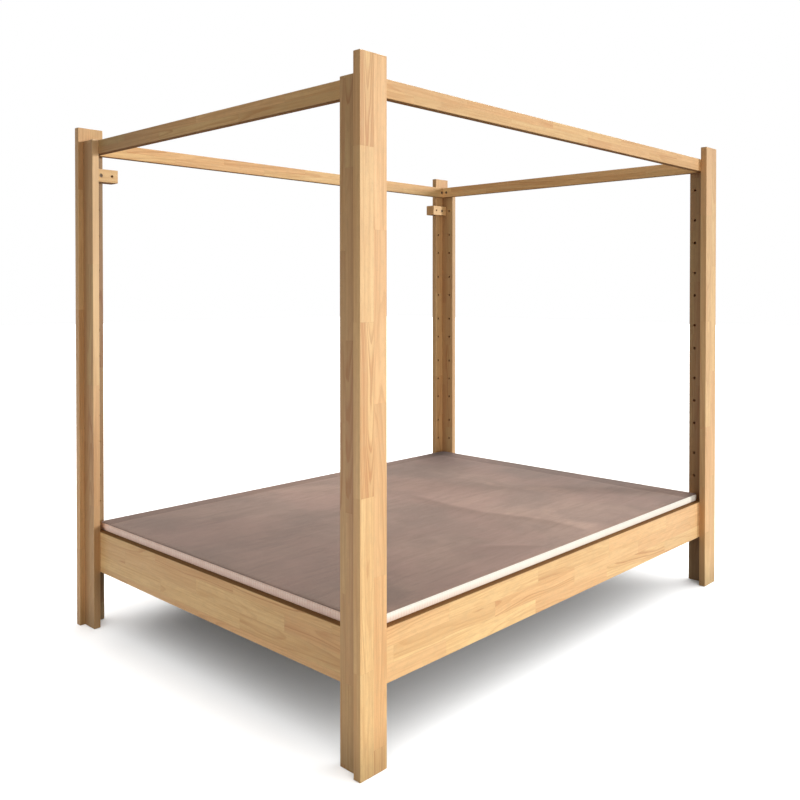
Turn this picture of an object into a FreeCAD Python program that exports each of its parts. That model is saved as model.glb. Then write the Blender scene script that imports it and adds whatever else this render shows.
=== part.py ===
# Canopy bed in solid beech, in millimetres.
#
# Frame: the origin is on the floor under the middle of the bed, +Z is up, +X runs along the bed
# and -Y is the front side. Each corner post is a T of two boards. The rails and beams are bolted
# to rows of holes in the inner faces of the posts, so that the bed can be hung at other heights.
import FreeCAD, Part
import math
import os
import Sketcher

Vector = FreeCAD.Vector

# Driving sizes, each set by itself.
SIZES = {
    # the whole bed
    "frame_length": 2170,
    "frame_width": 1566,
    "post_height": 1900,
    # solid boards
    "board_thickness": 26,
    "edge_chamfer": 1.2,
    "outer_board_width": 100,
    "inner_board_width": 73,
    "inner_board_setback": 20,
    # lower rails and canopy beams
    "rail_bottom": 211,
    "rail_height": 152,
    "canopy_drop": 51,
    "beam_height": 52,
    "end_play": 0.4,
    # rows of holes in the posts
    "row_hole_radius": 6,
    "row_hole_depth": 18,
    "hole_pair_pitch": 232,
    "hole_row_margin": 40,
    "rail_bolt_rise": 21,
    "rail_bolt_fall": 31,
    "row_clearance": 8,
    # loose tongue that joins the two boards of a post
    "tongue_width": 8,
    "tongue_depth": 8,
    "tongue_end_gap": 60,
    "tongue_play": 0.1,
    # bolts and the threaded inserts that take them
    "bolt_radius": 4,
    "bolt_hole_radius": 4.4,
    "bolt_head_radius": 6.8,
    "bolt_head_height": 4.2,
    "bolt_socket_radius": 2.6,
    "bolt_socket_depth": 2.2,
    "bolt_recess_radius": 7.3,
    "bolt_recess_depth": 5,
    "bolt_reach": 14,
    "insert_play": 0.1,
    "insert_length": 16,
    "insert_bore_play": 0.2,
    # cleats and wood screws
    "cleat_depth": 30,
    "cleat_height": 30,
    "cleat_drop": 92,
    "cleat_end_gap": 6,
    "cleat_screw_pitch": 310,
    "screw_radius": 2.4,
    "screw_play": 0.1,
    "screw_head_radius": 4.6,
    "screw_length": 46,
    # centre beam and its notched seats
    "centre_beam_height": 42,
    "centre_beam_end_gap": 2,
    "seat_width": 92,
    "seat_height": 52,
    "seat_floor": 16,
    "seat_play": 0.4,
    "seat_screw_inset": 16,
    # slatted base
    "slat_width": 78,
    "slat_thickness": 20,
    "slat_end_play": 4,
    "slat_run_gap": 12,
    "strap_width": 28,
    "strap_thickness": 1.6,
    "strap_inset": 270,
    "rest_gap": 0.3,
    # drilled blocks on the back posts
    "block_overhang": 50,
    "block_height": 50,
    "block_free_hole_radius": 5,
    # mattress
    "mattress_play": 2,
    "mattress_height": 96,
    "mattress_corner_radius": 26,
    "mattress_waist": 2.5,
    "panel_edge_inset": 3,
    "panel_edge_rise": 3,
    "panel_border": 95,
    "panel_crown": 4,
    "panel_field_radius": 40,
    # cuts run this far past the wood
    "overrun": 5,
}

# How many there are of what repeats.
COUNTS = {
    "slat_count": 14,
    # flat sides of the rounds that repeat: holes and heads, shank holes and inserts, shanks
    "hole_sides": 12,
    "insert_sides": 8,
    "shank_sides": 6,
}

# Places and sizes that follow from the driving ones. Each may use those above it.
PLACES = {
    "half_length": "Sizes.frame_length / 2",
    "half_width": "Sizes.frame_width / 2",
    "half_board": "Sizes.board_thickness / 2",
    "double_board": "Sizes.board_thickness * 2",
    "cut_through": "Sizes.board_thickness + Sizes.overrun",
    "cut_through_both": "double_board + Sizes.overrun",
    "inner_board_top": "Sizes.post_height - Sizes.canopy_drop",
    # planes of the boards, as distances from the middle of the bed
    "outer_inner_face": "half_width - Sizes.board_thickness",
    "inner_inner_face": "half_length - Sizes.inner_board_setback - Sizes.board_thickness",
    "side_rail_face": "outer_inner_face - Sizes.board_thickness",
    "end_rail_face": "inner_inner_face - Sizes.board_thickness",
    "side_rail_half": "inner_inner_face - Sizes.end_play",
    "end_rail_half": "side_rail_face - Sizes.end_play",
    "rail_top": "Sizes.rail_bottom + Sizes.rail_height",
    "beam_top": "inner_board_top",
    "beam_bottom": "beam_top - Sizes.beam_height",
    # hole rows: pairs counted up from the rail's bolts and down from the beam's bolt
    "hole_pair_gap": "Sizes.rail_height - Sizes.rail_bolt_rise - Sizes.rail_bolt_fall",
    "rail_bolt_low": "Sizes.rail_bottom + Sizes.rail_bolt_rise",
    "rail_bolt_high": "rail_bolt_low + hole_pair_gap",
    "spare_low": "rail_bolt_low + Sizes.hole_pair_pitch",
    "spare_high": "rail_bolt_high + Sizes.hole_pair_pitch",
    "single_hole": "spare_low + Sizes.hole_pair_pitch",
    "beam_bolt": "beam_top - Sizes.beam_height / 2",
    "block_bolt": "beam_bolt - hole_pair_gap",
    "high_run": "block_bolt - single_hole - Sizes.hole_row_margin",
    "high_pair_count": "floor(high_run / Sizes.hole_pair_pitch) + 1",
    "outer_row_inset": "Sizes.inner_board_setback + double_board + Sizes.row_clearance",
    "outer_row": "half_length - outer_row_inset",
    "inner_row_step": "(Sizes.board_thickness + Sizes.inner_board_width) / 2",
    "inner_row": "outer_inner_face - inner_row_step",
    # tongue groove
    "groove_near": "Sizes.inner_board_setback + half_board - Sizes.tongue_width / 2",
    "groove_far": "groove_near + Sizes.tongue_width",
    "groove_low": "Sizes.tongue_end_gap",
    "groove_high": "inner_board_top - Sizes.tongue_end_gap",
    "edge_groove_near": "half_board - Sizes.tongue_width / 2",
    "edge_groove_far": "edge_groove_near + Sizes.tongue_width",
    "tongue_half_depth": "Sizes.tongue_depth - Sizes.tongue_play",
    "tongue_low": "groove_low + Sizes.tongue_play",
    "tongue_length": "groove_high - groove_low - 2 * Sizes.tongue_play",
    "tongue_half_width": "Sizes.tongue_width / 2 - Sizes.tongue_play",
    "tongue_middle": "half_length - Sizes.inner_board_setback - half_board",
    # bolts
    "bolt_grip": "Sizes.board_thickness - Sizes.bolt_recess_depth",
    "bolt_length": "bolt_grip + Sizes.bolt_reach",
    "bolt_end": "Sizes.bolt_head_height + bolt_length",
    "insert_radius": "Sizes.row_hole_radius - Sizes.insert_play",
    "insert_bore_radius": "Sizes.bolt_radius + Sizes.insert_bore_play",
    # cleats, centre beam and slats
    "cleat_top": "rail_top - Sizes.cleat_drop",
    "cleat_bottom": "cleat_top - Sizes.cleat_height",
    "cleat_face": "side_rail_face - Sizes.cleat_depth",
    "cleat_half": "end_rail_face - Sizes.cleat_end_gap",
    "cleat_middle": "(cleat_top + cleat_bottom) / 2",
    "cleat_cut": "Sizes.cleat_depth + Sizes.overrun",
    "cleat_screw_steps": "floor(cleat_half / Sizes.cleat_screw_pitch)",
    "cleat_screw_start": "cleat_screw_steps * Sizes.cleat_screw_pitch",
    "cleat_screw_count": "2 * cleat_screw_steps + 1",
    "screw_head_height": "Sizes.screw_head_radius - Sizes.screw_radius",
    "screw_hole_radius": "Sizes.screw_radius + Sizes.screw_play",
    "cleat_pilot_depth": "Sizes.screw_length - Sizes.cleat_depth + Sizes.screw_play",
    "seat_pilot_depth": "Sizes.screw_length - Sizes.board_thickness + Sizes.screw_play",
    "centre_beam_bottom": "cleat_top - Sizes.centre_beam_height",
    "centre_beam_half": "end_rail_face - Sizes.centre_beam_end_gap",
    "seat_bottom": "centre_beam_bottom - Sizes.seat_floor",
    "seat_top": "seat_bottom + Sizes.seat_height",
    "seat_half": "Sizes.seat_width / 2",
    "notch_half": "half_board + Sizes.seat_play",
    "seat_face": "end_rail_face - Sizes.board_thickness",
    "seat_screw": "seat_half - Sizes.seat_screw_inset",
    "seat_middle": "(seat_bottom + seat_top) / 2",
    "slat_bottom": "cleat_top + Sizes.rest_gap",
    "slat_half": "side_rail_face - Sizes.slat_end_play",
    "slat_half_width": "Sizes.slat_width / 2",
    "slat_run_half": "end_rail_face - Sizes.slat_run_gap",
    "slat_pitch": "(2 * slat_run_half - Sizes.slat_width) / (Counts.slat_count - 1)",
    "strap_middle": "slat_half - Sizes.strap_inset",
    "strap_near": "strap_middle - Sizes.strap_width / 2",
    "strap_far": "strap_middle + Sizes.strap_width / 2",
    "strap_bottom": "slat_bottom - Sizes.strap_thickness",
    # drilled blocks, measured in from the end of the bed
    "block_start": "half_length - inner_inner_face + Sizes.end_play",
    "block_end": "Sizes.outer_board_width + Sizes.block_overhang",
    "block_step": "Sizes.outer_board_width + Sizes.end_play",
    "block_middle": "Sizes.block_height / 2",
    "block_bottom": "block_bolt - block_middle",
    "block_free_hole": "(Sizes.outer_board_width + block_end) / 2",
    # mattress
    "mattress_half_length": "end_rail_face - Sizes.mattress_play",
    "mattress_half_width": "side_rail_face - Sizes.mattress_play",
    "mattress_bottom": "slat_bottom + Sizes.slat_thickness + Sizes.rest_gap",
    "mattress_seam": "mattress_bottom + Sizes.mattress_height",
    "waist_half_length": "mattress_half_length - Sizes.mattress_waist",
    "waist_half_width": "mattress_half_width - Sizes.mattress_waist",
    "waist_height": "Sizes.mattress_height / 2",
    "edge_half_length": "mattress_half_length - Sizes.panel_edge_inset",
    "edge_half_width": "mattress_half_width - Sizes.panel_edge_inset",
    "field_half_length": "edge_half_length - Sizes.panel_border",
    "field_half_width": "edge_half_width - Sizes.panel_border",
    "field_height": "Sizes.panel_edge_rise + Sizes.panel_crown",
}

# Corners of the bed: the name, and on which side of the middle it lies along X and along Y.
CORNERS = {
    "front_left": (-1, -1),
    "front_right": (1, -1),
    "back_left": (-1, 1),
    "back_right": (1, 1),
}

# Slope of a countersunk screw head, in degrees.
COUNTERSINK_ANGLE = 45

# A face is on a plane when it is out of it by less than this.
NEARLY_ZERO = 0.000001

# The two cuts of a bolt hole: radius, flat sides and depth.
BOLT_CUTS = (
    ("bolt_hole_radius", "insert_sides", "cut_through"),
    ("bolt_recess_radius", "hole_sides", "bolt_recess_depth"),
)

doc = FreeCAD.newDocument("canopy_bed")
nodes = []


# The sheets of sizes

def fill_sheet(sheet_name, cells):
    """Write each value to a cell and name the cell."""
    sheet = doc.addObject("Spreadsheet::Sheet", sheet_name)
    for row, (name, value) in enumerate(cells.items(), start=1):
        sheet.set("A%d" % row, name)
        sheet.set("B%d" % row, str(value))
        sheet.setAlias("B%d" % row, name)
    doc.recompute()
    return sheet


sheets = {
    "Sizes": fill_sheet("Sizes", SIZES),
    "Counts": fill_sheet("Counts", COUNTS),
}
sheets["Places"] = fill_sheet("Places", {name: "=" + text for name, text in PLACES.items()})


def split_sign(name):
    """Part a name such as -half_length into its sign and the name of the cell."""
    return (-1, name[1:]) if name.startswith("-") else (1, name)


def value(name):
    """The number in a named cell, with a minus sign where the name has one; none stands for zero."""
    if name is None:
        return 0.0
    sign, name = split_sign(name)
    for sheet in sheets.values():
        if sheet.getCellFromAlias(name):
            return sign * float(sheet.get(name))
    raise KeyError(name)


def cell(name):
    """The same value as an expression that follows the sheet."""
    sign, name = split_sign(name)
    for sheet in sheets.values():
        if sheet.getCellFromAlias(name):
            return ("-" if sign < 0 else "") + sheet.Name + "." + name
    raise KeyError(name)


# Sketches

def new_body(label):
    body = doc.addObject("PartDesign::Body", label)
    body.Label = label
    nodes.append(body)
    return body


def place(body, along=None, across=None, up=None, turned=False):
    """Put a body at named places. A turned body is half a turn round from how it was drawn."""
    turn = FreeCAD.Rotation(Vector(0, 0, 1), 180 if turned else 0)
    body.Placement = FreeCAD.Placement(Vector(), turn)
    for axis, name in (("x", along), ("y", across), ("z", up)):
        if name is not None:
            body.setExpression("Placement.Base." + axis, cell(name))


def new_sketch(body, plane, offset=None):
    """A sketch on one of the body's own planes, or at a named distance from it."""
    sketch = body.newObject("Sketcher::SketchObject", body.Name + "_sketch")
    support = [item for item in body.Origin.OriginFeatures if item.Role == plane]
    sketch.AttachmentSupport = [(support[0], "")]
    sketch.MapMode = "FlatFace"
    if offset is not None:
        sketch.setExpression("AttachmentOffset.Base.z", cell(offset))
    return sketch


def pin_point(sketch, geometry, point, across, up):
    """Hold a point of the sketch at two named distances from its origin, or on an axis."""
    for kind, name, axis in (("DistanceX", across, -2), ("DistanceY", up, -1)):
        if name is None:
            sketch.addConstraint(Sketcher.Constraint("PointOnObject", geometry, point, axis))
            continue
        rule = Sketcher.Constraint(kind, -1, 1, geometry, point, value(name))
        index = sketch.addConstraint(rule)
        sketch.setExpression("Constraints[%d]" % index, cell(name))


def draw_outline(sketch, corners):
    """A closed outline of straight lines through corners at named places."""
    first = sketch.GeometryCount
    count = len(corners)
    points = [Vector(value(across), value(up), 0) for across, up in corners]
    for index, start in enumerate(points):
        sketch.addGeometry(Part.LineSegment(start, points[(index + 1) % count]), False)
    for index in range(count):
        after = first + (index + 1) % count
        sketch.addConstraint(Sketcher.Constraint("Coincident", first + index, 2, after, 1))
    for index, (across, up) in enumerate(corners):
        pin_point(sketch, first + index, 1, across, up)


def draw_rectangle(sketch, near, low, far, high):
    draw_outline(sketch, [(near, low), (far, low), (far, high), (near, high)])


def draw_circle(sketch, across, up, radius, guide=False):
    """A true circle, or only a guide line that other lines keep to."""
    centre = Vector(value(across), value(up), 0)
    circle = Part.Circle(centre, Vector(0, 0, 1), value(radius))
    geometry = sketch.addGeometry(circle, guide)
    index = sketch.addConstraint(Sketcher.Constraint("Radius", geometry, value(radius)))
    sketch.setExpression("Constraints[%d]" % index, cell(radius))
    pin_point(sketch, geometry, 3, across, up)
    return geometry, index


def draw_flats(sketch, across, up, radius, sides, hole=True):
    """A small round with flat sides, which lie outside the circle of a hole and inside that of a piece."""
    count = COUNTS[sides]
    guide, index = draw_circle(sketch, across, up, radius, guide=True)
    reach = value(radius)
    if hole:
        reach = reach / math.cos(math.pi / count)
        sketch.setExpression("Constraints[%d]" % index, "%s / cos(180 / Counts.%s)" % (cell(radius), sides))
    corners = []
    for step in range(count):
        angle = (2 * step + 1) * math.pi / count
        turned = Vector(reach * math.cos(angle), reach * math.sin(angle), 0)
        corners.append(Vector(value(across), value(up), 0) + turned)
    first = sketch.GeometryCount
    for step, corner in enumerate(corners):
        sketch.addGeometry(Part.LineSegment(corner, corners[(step + 1) % count]), False)
    rules = [Sketcher.Constraint("Vertical", first + count - 1)]
    for step in range(count):
        side, after = first + step, first + (step + 1) % count
        rules.append(Sketcher.Constraint("Coincident", side, 2, after, 1))
        rules.append(Sketcher.Constraint("PointOnObject", side, 1, guide))
        if step:
            rules.append(Sketcher.Constraint("Equal", first, side))
    sketch.addConstraint(rules)


# Features

def pad(body, sketch, length, backwards=False):
    feature = body.newObject("PartDesign::Pad", body.Name + "_pad")
    feature.Profile = sketch
    feature.setExpression("Length", cell(length))
    feature.Reversed = backwards
    doc.recompute()
    return feature


def chamfer_all(body):
    """Ease every edge of the board as it is before any hole is cut."""
    board = body.Tip
    feature = body.newObject("PartDesign::Chamfer", body.Name + "_chamfer")
    feature.Base = (board, [""])
    feature.UseAllEdges = True
    feature.setExpression("Size", cell("edge_chamfer"))
    doc.recompute()
    return feature


def pocket(body, sketch, depth, forwards=False):
    """Cut to a named depth, and make sure that something was cut."""
    before = body.Shape.Volume
    feature = body.newObject("PartDesign::Pocket", body.Name + "_pocket")
    feature.Profile = sketch
    feature.setExpression("Length", cell(depth))
    feature.Reversed = forwards
    doc.recompute()
    if not body.Shape.Volume < before:
        raise ValueError(body.Label + " has a cut that cuts nothing")
    return feature


def repeat_cut(body, cut, axis, pitch, count, backwards=False):
    """Repeat a cut at a named pitch along an axis of its sketch."""
    pattern = body.newObject("PartDesign::LinearPattern", body.Name + "_row")
    pattern.Originals = [cut]
    pattern.Direction = (cut.Profile[0], [axis])
    pattern.Mode = "Spacing"
    pattern.Reversed = backwards
    pattern.setExpression("Offset", cell(pitch))
    pattern.setExpression("Occurrences", cell(count))
    body.Tip = pattern
    doc.recompute()
    return pattern


# Posts

def drill_rows(body, plane, column, forwards=False, true_spares=False):
    """The row of blind holes of a post board.

    From below: the rail's pair, a spare pair, one single hole, then pairs counted down from the
    beam's bolt. The spare pair of a wide board, to which other things are fastened, is truly round.
    """
    sketch = new_sketch(body, plane)
    for height in ("spare_low", "spare_high"):
        if true_spares:
            draw_circle(sketch, column, height, "row_hole_radius")
        else:
            draw_flats(sketch, column, height, "row_hole_radius", "hole_sides")
    pocket(body, sketch, "row_hole_depth", forwards)
    for heights, repeated in ((("rail_bolt_low", "rail_bolt_high", "single_hole"), False),
                              (("beam_bolt", "block_bolt"), True)):
        sketch = new_sketch(body, plane)
        for height in heights:
            draw_flats(sketch, column, height, "row_hole_radius", "hole_sides")
        cut = pocket(body, sketch, "row_hole_depth", forwards)
        if repeated:
            repeat_cut(body, cut, "V_Axis", "hole_pair_pitch", "high_pair_count", backwards=True)


def signed(name, hand):
    return name if hand > 0 else "-" + name


def outer_post_board(corner, side_x, side_y):
    """Wide board, drawn from its outer edge, with its inner face on the drawing plane."""
    hand = side_x * side_y
    body = new_body(corner + "_post_outer_board")
    sketch = new_sketch(body, "XZ_Plane")
    draw_rectangle(sketch, None, None, signed("outer_board_width", hand), "post_height")
    pad(body, sketch, "board_thickness")
    chamfer_all(body)
    drill_rows(body, "XZ_Plane", signed("outer_row_inset", hand), forwards=True, true_spares=True)
    groove = new_sketch(body, "XZ_Plane")
    near, far = signed("groove_near", hand), signed("groove_far", hand)
    draw_rectangle(groove, near, "groove_low", far, "groove_high")
    pocket(body, groove, "tongue_depth", forwards=True)
    place(body, signed("half_length", side_x), signed("outer_inner_face", side_y), turned=side_y > 0)


def inner_post_board(corner, side_x, side_y):
    """Narrow board, butted with one edge on the outer board, its inner face on the drawing plane."""
    hand = side_x * side_y
    body = new_body(corner + "_post_inner_board")
    sketch = new_sketch(body, "YZ_Plane")
    draw_rectangle(sketch, None, None, signed("inner_board_width", hand), "inner_board_top")
    pad(body, sketch, "board_thickness", backwards=True)
    chamfer_all(body)
    drill_rows(body, "YZ_Plane", signed("inner_row_step", hand))
    groove = new_sketch(body, "XZ_Plane")
    draw_rectangle(groove, "-edge_groove_near", "groove_low", "-edge_groove_far", "groove_high")
    pocket(body, groove, "tongue_depth", forwards=hand < 0)
    place(body, signed("inner_inner_face", side_x), signed("outer_inner_face", side_y), turned=side_x > 0)


def post_tongue(corner, side_x, side_y):
    """Loose tongue glued half in each board of the post."""
    body = new_body(corner + "_post_tongue")
    sketch = new_sketch(body, "XY_Plane")
    draw_rectangle(sketch, "-tongue_half_width", "-tongue_half_depth",
                   "tongue_half_width", "tongue_half_depth")
    pad(body, sketch, "tongue_length")
    place(body, signed("tongue_middle", side_x), signed("outer_inner_face", side_y), "tongue_low")


# Rails, beams, cleats and the centre beam

def bolted_board(label, along_x, half, low, high, column, bolt_heights, flush_side):
    """A rail or beam with its inner face on the drawing plane, and a recessed bolt hole per bolt."""
    plane = "XZ_Plane" if along_x else "YZ_Plane"
    body = new_body(label)
    sketch = new_sketch(body, plane)
    draw_rectangle(sketch, "-" + half, low, half, high)
    pad(body, sketch, "board_thickness", backwards=not along_x)
    chamfer_all(body)
    for radius, sides, depth in BOLT_CUTS:
        holes = new_sketch(body, plane)
        for side in (-1, 1):
            for height in bolt_heights:
                draw_flats(holes, signed(column, side), height, radius, sides)
        pocket(body, holes, depth, forwards=along_x)
    if along_x:
        place(body, across=flush_side[0], turned=flush_side[1])
    else:
        place(body, along=flush_side[0], turned=flush_side[1])
    return body


def screw_row(body, depth):
    """A row of round holes along a cleat or rail, one for each of the cleat's screws."""
    sketch = new_sketch(body, "XZ_Plane")
    draw_flats(sketch, "-cleat_screw_start", "cleat_middle", "screw_hole_radius", "insert_sides")
    cut = pocket(body, sketch, depth, forwards=True)
    repeat_cut(body, cut, "H_Axis", "cleat_screw_pitch", "cleat_screw_count")


def seat_screw_holes(body, depth):
    """The two screw holes of a centre beam seat, in the seat or in the rail behind it."""
    sketch = new_sketch(body, "YZ_Plane")
    for side in (-1, 1):
        draw_flats(sketch, signed("seat_screw", side), "seat_middle", "screw_hole_radius", "insert_sides")
    pocket(body, sketch, depth)


def sink_holes(body, normal):
    """Countersink the holes that open in the face on the drawing plane."""
    drilled = body.Tip
    faces = [face for face in drilled.Shape.Faces
             if abs(abs(face.normalAt(0, 0).dot(normal)) - 1) < NEARLY_ZERO
             and abs(face.CenterOfMass.dot(normal)) < NEARLY_ZERO]
    open_face = max(faces, key=lambda face: face.Area)
    rims = [edge for wire in open_face.Wires if not wire.isSame(open_face.OuterWire) for edge in wire.Edges]
    names = ["Edge%d" % number for number, edge in enumerate(drilled.Shape.Edges, start=1)
             if any(edge.isSame(rim) for rim in rims)]
    feature = body.newObject("PartDesign::Chamfer", body.Name + "_sinks")
    feature.Base = (drilled, names)
    feature.setExpression("Size", cell("screw_head_height"))
    doc.recompute()


def lower_rails():
    bolts = ("rail_bolt_low", "rail_bolt_high")
    for name, side in (("front", -1), ("back", 1)):
        spot = (signed("side_rail_face", side), side > 0)
        rail = bolted_board(name + "_side_rail", True, "side_rail_half", "rail_bottom", "rail_top",
                            "outer_row", bolts, spot)
        screw_row(rail, "cleat_pilot_depth")
    for name, side in (("left", -1), ("right", 1)):
        spot = (signed("end_rail_face", side), side > 0)
        rail = bolted_board(name + "_end_rail", False, "end_rail_half", "rail_bottom", "rail_top",
                            "inner_row", bolts, spot)
        seat_screw_holes(rail, "seat_pilot_depth")


def canopy_beams():
    for name, side in (("front", -1), ("back", 1)):
        spot = (signed("side_rail_face", side), side > 0)
        bolted_board(name + "_canopy_beam", True, "side_rail_half", "beam_bottom", "beam_top",
                     "outer_row", ("beam_bolt",), spot)
    for name, side in (("left", -1), ("right", 1)):
        spot = (signed("end_rail_face", side), side > 0)
        bolted_board(name + "_canopy_beam", False, "end_rail_half", "beam_bottom", "beam_top",
                     "inner_row", ("beam_bolt",), spot)


def cleats():
    """Battens screwed to the side rails, which carry the slats."""
    for name, side in (("front", -1), ("back", 1)):
        body = new_body(name + "_cleat")
        sketch = new_sketch(body, "XZ_Plane")
        draw_rectangle(sketch, "-cleat_half", "cleat_bottom", "cleat_half", "cleat_top")
        pad(body, sketch, "cleat_depth")
        chamfer_all(body)
        screw_row(body, "cleat_cut")
        sink_holes(body, Vector(0, 1, 0))
        place(body, across=signed("cleat_face", side), turned=side > 0)


def centre_beam():
    body = new_body("centre_beam")
    sketch = new_sketch(body, "XZ_Plane")
    draw_rectangle(sketch, "-centre_beam_half", "centre_beam_bottom", "centre_beam_half", "cleat_top")
    pad(body, sketch, "board_thickness")
    chamfer_all(body)
    place(body, across="half_board")


def centre_beam_seats():
    """Notched blocks on the end rails, in which the ends of the centre beam lie."""
    for name, side in (("left", -1), ("right", 1)):
        body = new_body(name + "_centre_beam_seat")
        sketch = new_sketch(body, "YZ_Plane")
        draw_outline(sketch, [
            ("-seat_half", "seat_bottom"), ("seat_half", "seat_bottom"), ("seat_half", "seat_top"),
            ("notch_half", "seat_top"), ("notch_half", "centre_beam_bottom"),
            ("-notch_half", "centre_beam_bottom"), ("-notch_half", "seat_top"), ("-seat_half", "seat_top"),
        ])
        pad(body, sketch, "board_thickness", backwards=True)
        chamfer_all(body)
        seat_screw_holes(body, "cut_through")
        sink_holes(body, Vector(1, 0, 0))
        place(body, along=signed("seat_face", side), turned=side > 0)


# Slatted base

def slats():
    for index in range(COUNTS["slat_count"]):
        body = new_body("slat_%02d" % (index + 1))
        sketch = new_sketch(body, "XY_Plane")
        draw_rectangle(sketch, "-slat_half_width", "-slat_half", "slat_half_width", "slat_half")
        pad(body, sketch, "slat_thickness")
        chamfer_all(body)
        place(body, up="slat_bottom")
        middle = "Places.slat_half_width - Places.slat_run_half + %d * Places.slat_pitch" % index
        body.setExpression("Placement.Base.x", middle)


def slat_straps():
    for name, side in (("front", -1), ("back", 1)):
        body = new_body(name + "_slat_strap")
        sketch = new_sketch(body, "XY_Plane")
        near, far = signed("strap_near", side), signed("strap_far", side)
        draw_rectangle(sketch, "-slat_run_half", near, "slat_run_half", far)
        pad(body, sketch, "strap_thickness")
        place(body, up="strap_bottom")


# Drilled blocks on the back posts

def drilled_block(corner, side_x, side_y):
    """Rebated round the inner edge of the wide board: one hole takes its bolt, the other is free."""
    hand = -side_x
    body = new_body(corner + "_drilled_block")
    start, step, end = (signed(name, hand) for name in ("block_start", "block_step", "block_end"))
    sketch = new_sketch(body, "XY_Plane")
    draw_outline(sketch, [
        (start, "-double_board"), (end, "-double_board"), (end, None), (step, None),
        (step, "-board_thickness"), (start, "-board_thickness"),
    ])
    pad(body, sketch, "block_height")
    chamfer_all(body)
    for radius, sides, depth in BOLT_CUTS:
        sketch = new_sketch(body, "XZ_Plane", "double_board")
        draw_flats(sketch, signed("outer_row_inset", hand), "block_middle", radius, sides)
        pocket(body, sketch, depth)
    sketch = new_sketch(body, "XZ_Plane", "double_board")
    draw_circle(sketch, signed("block_free_hole", hand), "block_middle", "block_free_hole_radius")
    pocket(body, sketch, "cut_through_both")
    place(body, signed("half_length", side_x), signed("half_width", side_y), "block_bottom")


# Mattress

def draw_rounded_rectangle(sketch, half_length, half_width, radius):
    """A rectangle about the middle with a round arc at each corner."""
    length, width, round_off = value(half_length), value(half_width), value(radius)
    quarter = math.pi / 2
    sides, arcs = [], []
    for turn in range(4):
        reach, spread = (length, width) if turn % 2 == 0 else (width, length)
        spin = FreeCAD.Rotation(Vector(0, 0, 1), 90 * turn)
        start = spin.multVec(Vector(reach, round_off - spread, 0))
        end = spin.multVec(Vector(reach, spread - round_off, 0))
        centre = spin.multVec(Vector(reach - round_off, spread - round_off, 0))
        sides.append(sketch.addGeometry(Part.LineSegment(start, end), False))
        circle = Part.Circle(centre, Vector(0, 0, 1), round_off)
        arc = Part.ArcOfCircle(circle, turn * quarter, (turn + 1) * quarter)
        arcs.append(sketch.addGeometry(arc, False))
    for turn in range(4):
        after = sides[(turn + 1) % 4]
        sketch.addConstraint(Sketcher.Constraint("Tangent", sides[turn], 2, arcs[turn], 1))
        sketch.addConstraint(Sketcher.Constraint("Tangent", arcs[turn], 2, after, 1))
        upright = "Vertical" if turn % 2 == 0 else "Horizontal"
        sketch.addConstraint(Sketcher.Constraint(upright, sides[turn]))
        kind, name = ("DistanceX", half_length) if turn % 2 == 0 else ("DistanceY", half_width)
        name = name if turn < 2 else "-" + name
        index = sketch.addConstraint(Sketcher.Constraint(kind, -1, 1, sides[turn], 1, value(name)))
        sketch.setExpression("Constraints[%d]" % index, cell(name))
    for arc in arcs[1:]:
        sketch.addConstraint(Sketcher.Constraint("Equal", arcs[0], arc))
    index = sketch.addConstraint(Sketcher.Constraint("Radius", arcs[0], round_off))
    sketch.setExpression("Constraints[%d]" % index, cell(radius))


def lofted_pad(label, sections, ruled, up):
    """A soft form through rounded rectangles at named heights."""
    body = new_body(label)
    sketches = []
    for half_length, half_width, radius, height in sections:
        sketch = new_sketch(body, "XY_Plane", height)
        draw_rounded_rectangle(sketch, half_length, half_width, radius)
        sketches.append(sketch)
    loft = body.newObject("PartDesign::AdditiveLoft", label + "_loft")
    loft.Profile = sketches[0]
    loft.Sections = sketches[1:]
    loft.Ruled = ruled
    doc.recompute()
    place(body, up=up)


def mattress():
    """The body is drawn in a little at half its height; the top panel slopes down to its edge."""
    corner = "mattress_corner_radius"
    full = ("mattress_half_length", "mattress_half_width", corner)
    waist = ("waist_half_length", "waist_half_width", corner)
    edge = ("edge_half_length", "edge_half_width", corner)
    field = ("field_half_length", "field_half_width", "panel_field_radius")
    lofted_pad("mattress_body", [full + (None,), waist + ("waist_height",), full + ("mattress_height",)],
               False, "mattress_bottom")
    lofted_pad("mattress_top_panel",
               [full + (None,), edge + ("panel_edge_rise",), field + ("field_height",)],
               True, "mattress_seam")


# Fasteners: one of each kind is drawn with its head on top, and the groups are copies of it

def fastener_body(label):
    body = doc.addObject("PartDesign::Body", label)
    body.Label = label
    return body


def padded_round(body, radius, sides, length, angle=0):
    """A stretch of a fastener that reaches down from the top of its head to a named depth."""
    sketch = new_sketch(body, "XY_Plane")
    draw_flats(sketch, None, None, radius, sides, hole=False)
    feature = pad(body, sketch, length, backwards=True)
    feature.TaperAngle = angle
    doc.recompute()


def bolt():
    """Cylinder-head bolt with a hexagonal socket."""
    body = fastener_body("bolt_pattern_piece")
    padded_round(body, "bolt_head_radius", "hole_sides", "bolt_head_height")
    padded_round(body, "bolt_radius", "shank_sides", "bolt_end")
    socket = new_sketch(body, "XY_Plane")
    draw_flats(socket, None, None, "bolt_socket_radius", "shank_sides")
    pocket(body, socket, "bolt_socket_depth")
    return body


def insert():
    """Sleeve that sits in a hole of the post and takes a bolt."""
    body = fastener_body("insert_pattern_piece")
    sketch = new_sketch(body, "XY_Plane")
    draw_flats(sketch, None, None, "insert_radius", "insert_sides", hole=False)
    draw_flats(sketch, None, None, "insert_bore_radius", "insert_sides")
    pad(body, sketch, "insert_length", backwards=True)
    return body


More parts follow.
